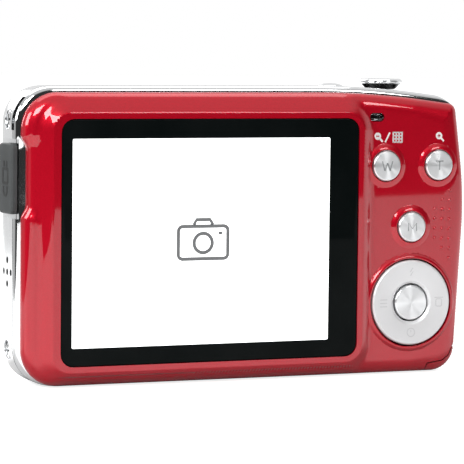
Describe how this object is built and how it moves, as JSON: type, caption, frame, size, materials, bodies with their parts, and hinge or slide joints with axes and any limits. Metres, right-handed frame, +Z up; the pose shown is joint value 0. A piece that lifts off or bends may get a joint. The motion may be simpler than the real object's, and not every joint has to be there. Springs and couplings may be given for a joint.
{
  "type": "compact digital camera",
  "caption": "Slim pocket camera with a glossy raised screen surround, back buttons, a four-way pad, fixed lens, hinged battery door and a side port cover",
  "frame": {"origin": "on the base, in the middle of the body's width and depth", "axes": "+Z up, lens looks along -Y, screen looks along +Y, the grip with the shutter button is the -X end"},
  "size_m": [0.097, 0.0241, 0.0597],
  "materials": {
    "front_shell": "satin",
    "trim_ring": "polished",
    "back_cover": "gloss metallic",
    "screen_glass": "gloss",
    "lcd_module": "lit",
    "status_light_pipe": "clear",
    "button_mat": "matte",
    "button_board": "matte",
    "shutter_collar": "matte",
    "top_switch_board": "matte",
    "front_plate": "gloss metallic",
    "lens_base_ring": "polished",
    "lens_barrel": "matte",
    "lens_trim_ring": "polished",
    "lens_window": "clear",
    "front_lens_element": "clear",
    "lens_carrier": "matte",
    "rear_lens_element": "clear",
    "infrared_filter": "clear",
    "image_sensor": "gloss",
    "sensor_board": "matte",
    "flash_window": "clear",
    "flash_reflector": "polished",
    "flash_tube": "clear",
    "flash_capacitor": "matte",
    "self_timer_lamp": "clear",
    "microphone": "plain",
    "chassis": "plain",
    "side_screw_upper": "polished",
    "side_screw_lower": "polished",
    "base_screw_outer": "polished",
    "base_screw_inner": "polished",
    "main_board": "matte",
    "speaker": "matte",
    "battery": "matte",
    "battery_contacts": "plain",
    "card_socket": "plain",
    "tripod_socket": "plain",
    "usb_socket": "plain",
    "strap_bar": "polished",
    "shutter_button": "spun",
    "power_button": "spun",
    "zoom_out_button": "spun",
    "zoom_in_button": "spun",
    "mode_button": "spun",
    "ok_button": "spun",
    "nav_carrier": "matte",
    "nav_ring": "satin",
    "door_hinge_pin": "plain",
    "battery_door": "satin",
    "battery_latch": "matte",
    "memory_card": "matte",
    "usb_cover": "matte"
  },
  "bodies": {
    "body": {"front_shell": "front_shell", "trim_ring": "trim_ring", "back_cover": "back_cover", "screen_glass": "screen_glass", "lcd_module": "lcd_module", "status_light_pipe": "status_light_pipe", "button_mat": "button_mat", "button_board": "button_board", "shutter_collar": "shutter_collar", "top_switch_board": "top_switch_board", "front_plate": "front_plate", "lens_base_ring": "lens_base_ring", "lens_barrel": "lens_barrel", "lens_trim_ring": "lens_trim_ring", "lens_window": "lens_window", "front_lens_element": "front_lens_element", "lens_carrier": "lens_carrier", "rear_lens_element": "rear_lens_element", "infrared_filter": "infrared_filter", "image_sensor": "image_sensor", "sensor_board": "sensor_board", "flash_window": "flash_window", "flash_reflector": "flash_reflector", "flash_tube": "flash_tube", "flash_capacitor": "flash_capacitor", "self_timer_lamp": "self_timer_lamp", "microphone": "microphone", "chassis": "chassis", "side_screw_upper": "side_screw_upper", "side_screw_lower": "side_screw_lower", "base_screw_outer": "base_screw_outer", "base_screw_inner": "base_screw_inner", "main_board": "main_board", "speaker": "speaker", "battery": "battery", "battery_contacts": "battery_contacts", "card_socket": "card_socket", "tripod_socket": "tripod_socket", "usb_socket": "usb_socket", "strap_bar": "strap_bar"},
    "shutter": {"shutter_button": "shutter_button"},
    "power": {"power_button": "power_button"},
    "zoom_out": {"zoom_out_button": "zoom_out_button"},
    "zoom_in": {"zoom_in_button": "zoom_in_button"},
    "mode": {"mode_button": "mode_button"},
    "ok": {"ok_button": "ok_button"},
    "pad_carrier": {"nav_carrier": "nav_carrier"},
    "pad": {"nav_ring": "nav_ring"},
    "door_slider": {"door_hinge_pin": "door_hinge_pin"},
    "door": {"battery_door": "battery_door"},
    "latch": {"battery_latch": "battery_latch"},
    "card": {"memory_card": "memory_card"},
    "port_cover": {"usb_cover": "usb_cover"}
  },
  "joints": [
    {"name": "shutter_press", "type": "slide", "parent": "body", "child": "shutter", "axis": [0, 0, -1], "range_m": [0, 0.001], "stiffness_N_per_m": 800},
    {"name": "power_press", "type": "slide", "parent": "body", "child": "power", "axis": [0, 0, -1], "range_m": [0, 0.0004], "stiffness_N_per_m": 800},
    {"name": "zoom_out_press", "type": "slide", "parent": "body", "child": "zoom_out", "axis": [0, -1, 0], "range_m": [0, 0.0005], "stiffness_N_per_m": 800},
    {"name": "zoom_in_press", "type": "slide", "parent": "body", "child": "zoom_in", "axis": [0, -1, 0], "range_m": [0, 0.0005], "stiffness_N_per_m": 800},
    {"name": "mode_press", "type": "slide", "parent": "body", "child": "mode", "axis": [0, -1, 0], "range_m": [0, 0.0005], "stiffness_N_per_m": 800},
    {"name": "ok_press", "type": "slide", "parent": "body", "child": "ok", "axis": [0, -1, 0], "range_m": [0, 0.0005], "stiffness_N_per_m": 800},
    {"name": "pad_left_right", "type": "hinge", "parent": "body", "child": "pad_carrier", "pos_m": [-0.0352, 0.00435, 0.01445], "axis": [0, 0, 1], "range_deg": [-2.5, 2.5], "stiffness_Nm_per_rad": 0.05},
    {"name": "pad_up_down", "type": "hinge", "parent": "pad_carrier", "child": "pad", "pos_m": [-0.0352, 0.00435, 0.01445], "axis": [1, 0, 0], "range_deg": [-2.5, 2.5], "stiffness_Nm_per_rad": 0.05},
    {"name": "door_slide", "type": "slide", "parent": "body", "child": "door_slider", "axis": [-1, 0, 0], "range_m": [0, 0.003]},
    {"name": "door_hinge", "type": "hinge", "parent": "door_slider", "child": "door", "pos_m": [-0.0075, 0, 0.00095], "axis": [0, -1, 0], "range_deg": [0, 95]},
    {"name": "latch_pivot", "type": "hinge", "parent": "body", "child": "latch", "pos_m": [-0.0405, -0.0033, 0.012], "axis": [0, 1, 0], "range_deg": [0, 6.5], "stiffness_Nm_per_rad": 0.02},
    {"name": "card_press", "type": "slide", "parent": "body", "child": "card", "axis": [0, 0, 1], "range_m": [0, 0.0012], "stiffness_N_per_m": 300},
    {"name": "port_cover_hinge", "type": "hinge", "parent": "body", "child": "port_cover", "pos_m": [0.04825, 0.0005, 0.0333], "axis": [0, 1, 0], "range_deg": [0, 110]}
  ]
}
